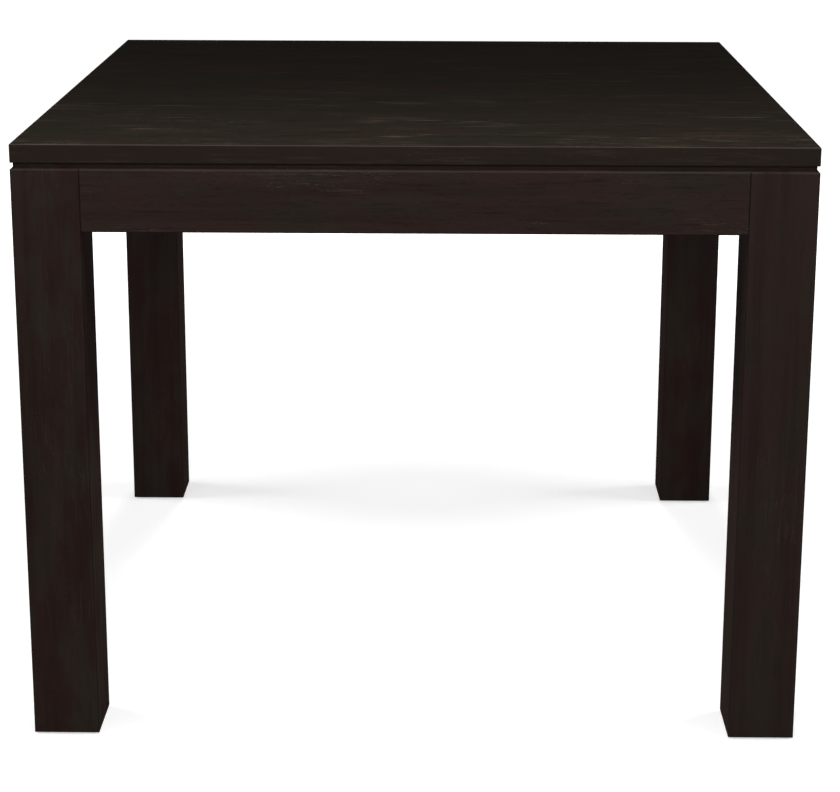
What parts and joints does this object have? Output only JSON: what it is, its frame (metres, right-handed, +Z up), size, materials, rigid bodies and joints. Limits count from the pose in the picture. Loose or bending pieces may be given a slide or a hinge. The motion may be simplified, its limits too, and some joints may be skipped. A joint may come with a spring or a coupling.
{
  "type": "parsons dining table",
  "caption": "Square solid-wood dining table with square corner legs flush with aprons and top, a shadow groove under the top and bolted corner blocks.",
  "frame": {"origin": "on the floor under the middle of the table", "axes": "+X runs along the boards of the top and the front apron, -Y is the front, +Z is up"},
  "size_m": [0.965, 0.965, 0.762],
  "materials": {
    "top_wood": "mahogany boards with an espresso stain under satin lacquer",
    "frame_wood": "mahogany with an espresso stain under satin lacquer",
    "inner_wood": "planed mahogany, unstained, one thin coat of sealer",
    "dowel_wood": "fluted beech, bare",
    "bolt_steel": "zinc-plated steel",
    "screw_steel": "yellow-passivated zinc-plated steel",
    "glide_nylon": "moulded nylon"
  },
  "bodies": {
    "root": {"apron_back": "frame_wood", "apron_dowels": "dowel_wood", "apron_front": "frame_wood", "apron_left": "frame_wood", "apron_right": "frame_wood", "bearer_screws": "screw_steel", "bolt_nuts": "bolt_steel", "bolt_washers": "bolt_steel", "button_screws": "screw_steel", "centre_bearer": "inner_wood", "corner_block_back_left": "inner_wood", "corner_block_back_right": "inner_wood", "corner_block_front_left": "inner_wood", "corner_block_front_right": "inner_wood", "corner_block_screws": "screw_steel", "glide_back_left": "glide_nylon", "glide_back_right": "glide_nylon", "glide_front_left": "glide_nylon", "glide_front_right": "glide_nylon", "glide_nails": "screw_steel", "hanger_bolts": "bolt_steel", "leg_back_left": "frame_wood", "leg_back_right": "frame_wood", "leg_front_left": "frame_wood", "leg_front_right": "frame_wood", "top_board_1": "top_wood", "top_board_2": "top_wood", "top_board_3": "top_wood", "top_board_4": "top_wood", "top_board_5": "top_wood", "top_board_6": "top_wood", "top_board_7": "top_wood", "top_board_8": "top_wood", "top_button_back_1": "inner_wood", "top_button_back_2": "inner_wood", "top_button_front_1": "inner_wood", "top_button_front_2": "inner_wood", "top_button_left_1": "inner_wood", "top_button_left_2": "inner_wood", "top_button_right_1": "inner_wood", "top_button_right_2": "inner_wood"}
  },
  "joints": []
}
